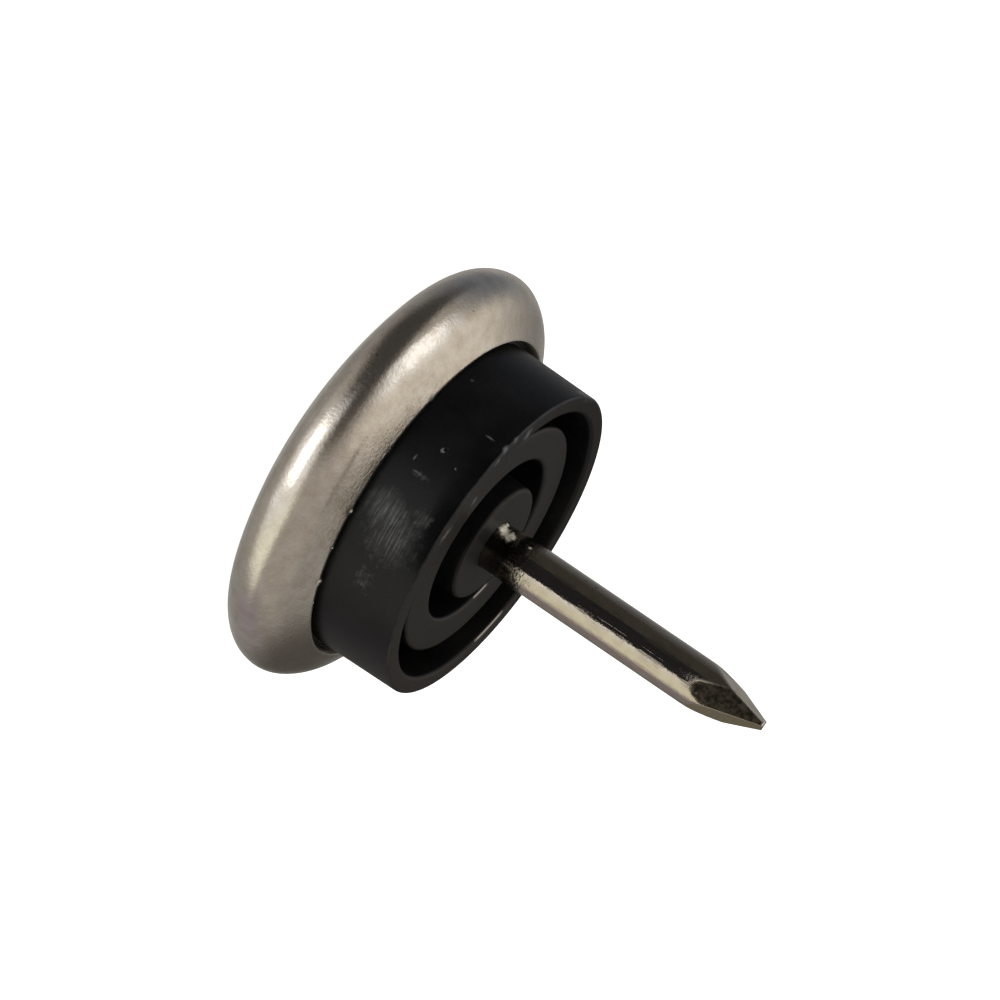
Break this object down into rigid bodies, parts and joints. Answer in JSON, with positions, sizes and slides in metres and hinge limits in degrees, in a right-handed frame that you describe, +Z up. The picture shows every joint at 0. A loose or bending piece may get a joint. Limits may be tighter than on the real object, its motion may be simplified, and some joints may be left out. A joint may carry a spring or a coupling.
{
  "type": "nail-on furniture glide",
  "caption": "Nail-on glide for a furniture leg: a domed steel cap rolled over a moulded plastic cushion, with a central nail that is driven up into the leg.",
  "frame": {"origin": "middle of the sole, the lowest point of the cap, where the glide stands on the floor", "axes": "+Z up the nail's axis from the sole to its point; X and Y lie in the sole's plane"},
  "size_m": [0.0286, 0.0286, 0.0323],
  "materials": {
    "plated_cap": "satin nickel plate with a fine grain",
    "black_moulding": "black moulded plastic, scuffed on the wall",
    "plated_nail": "bright nickel plate"
  },
  "bodies": {
    "root": {"glide_cap": "plated_cap", "cushion": "black_moulding", "nail": "plated_nail"}
  },
  "joints": []
}
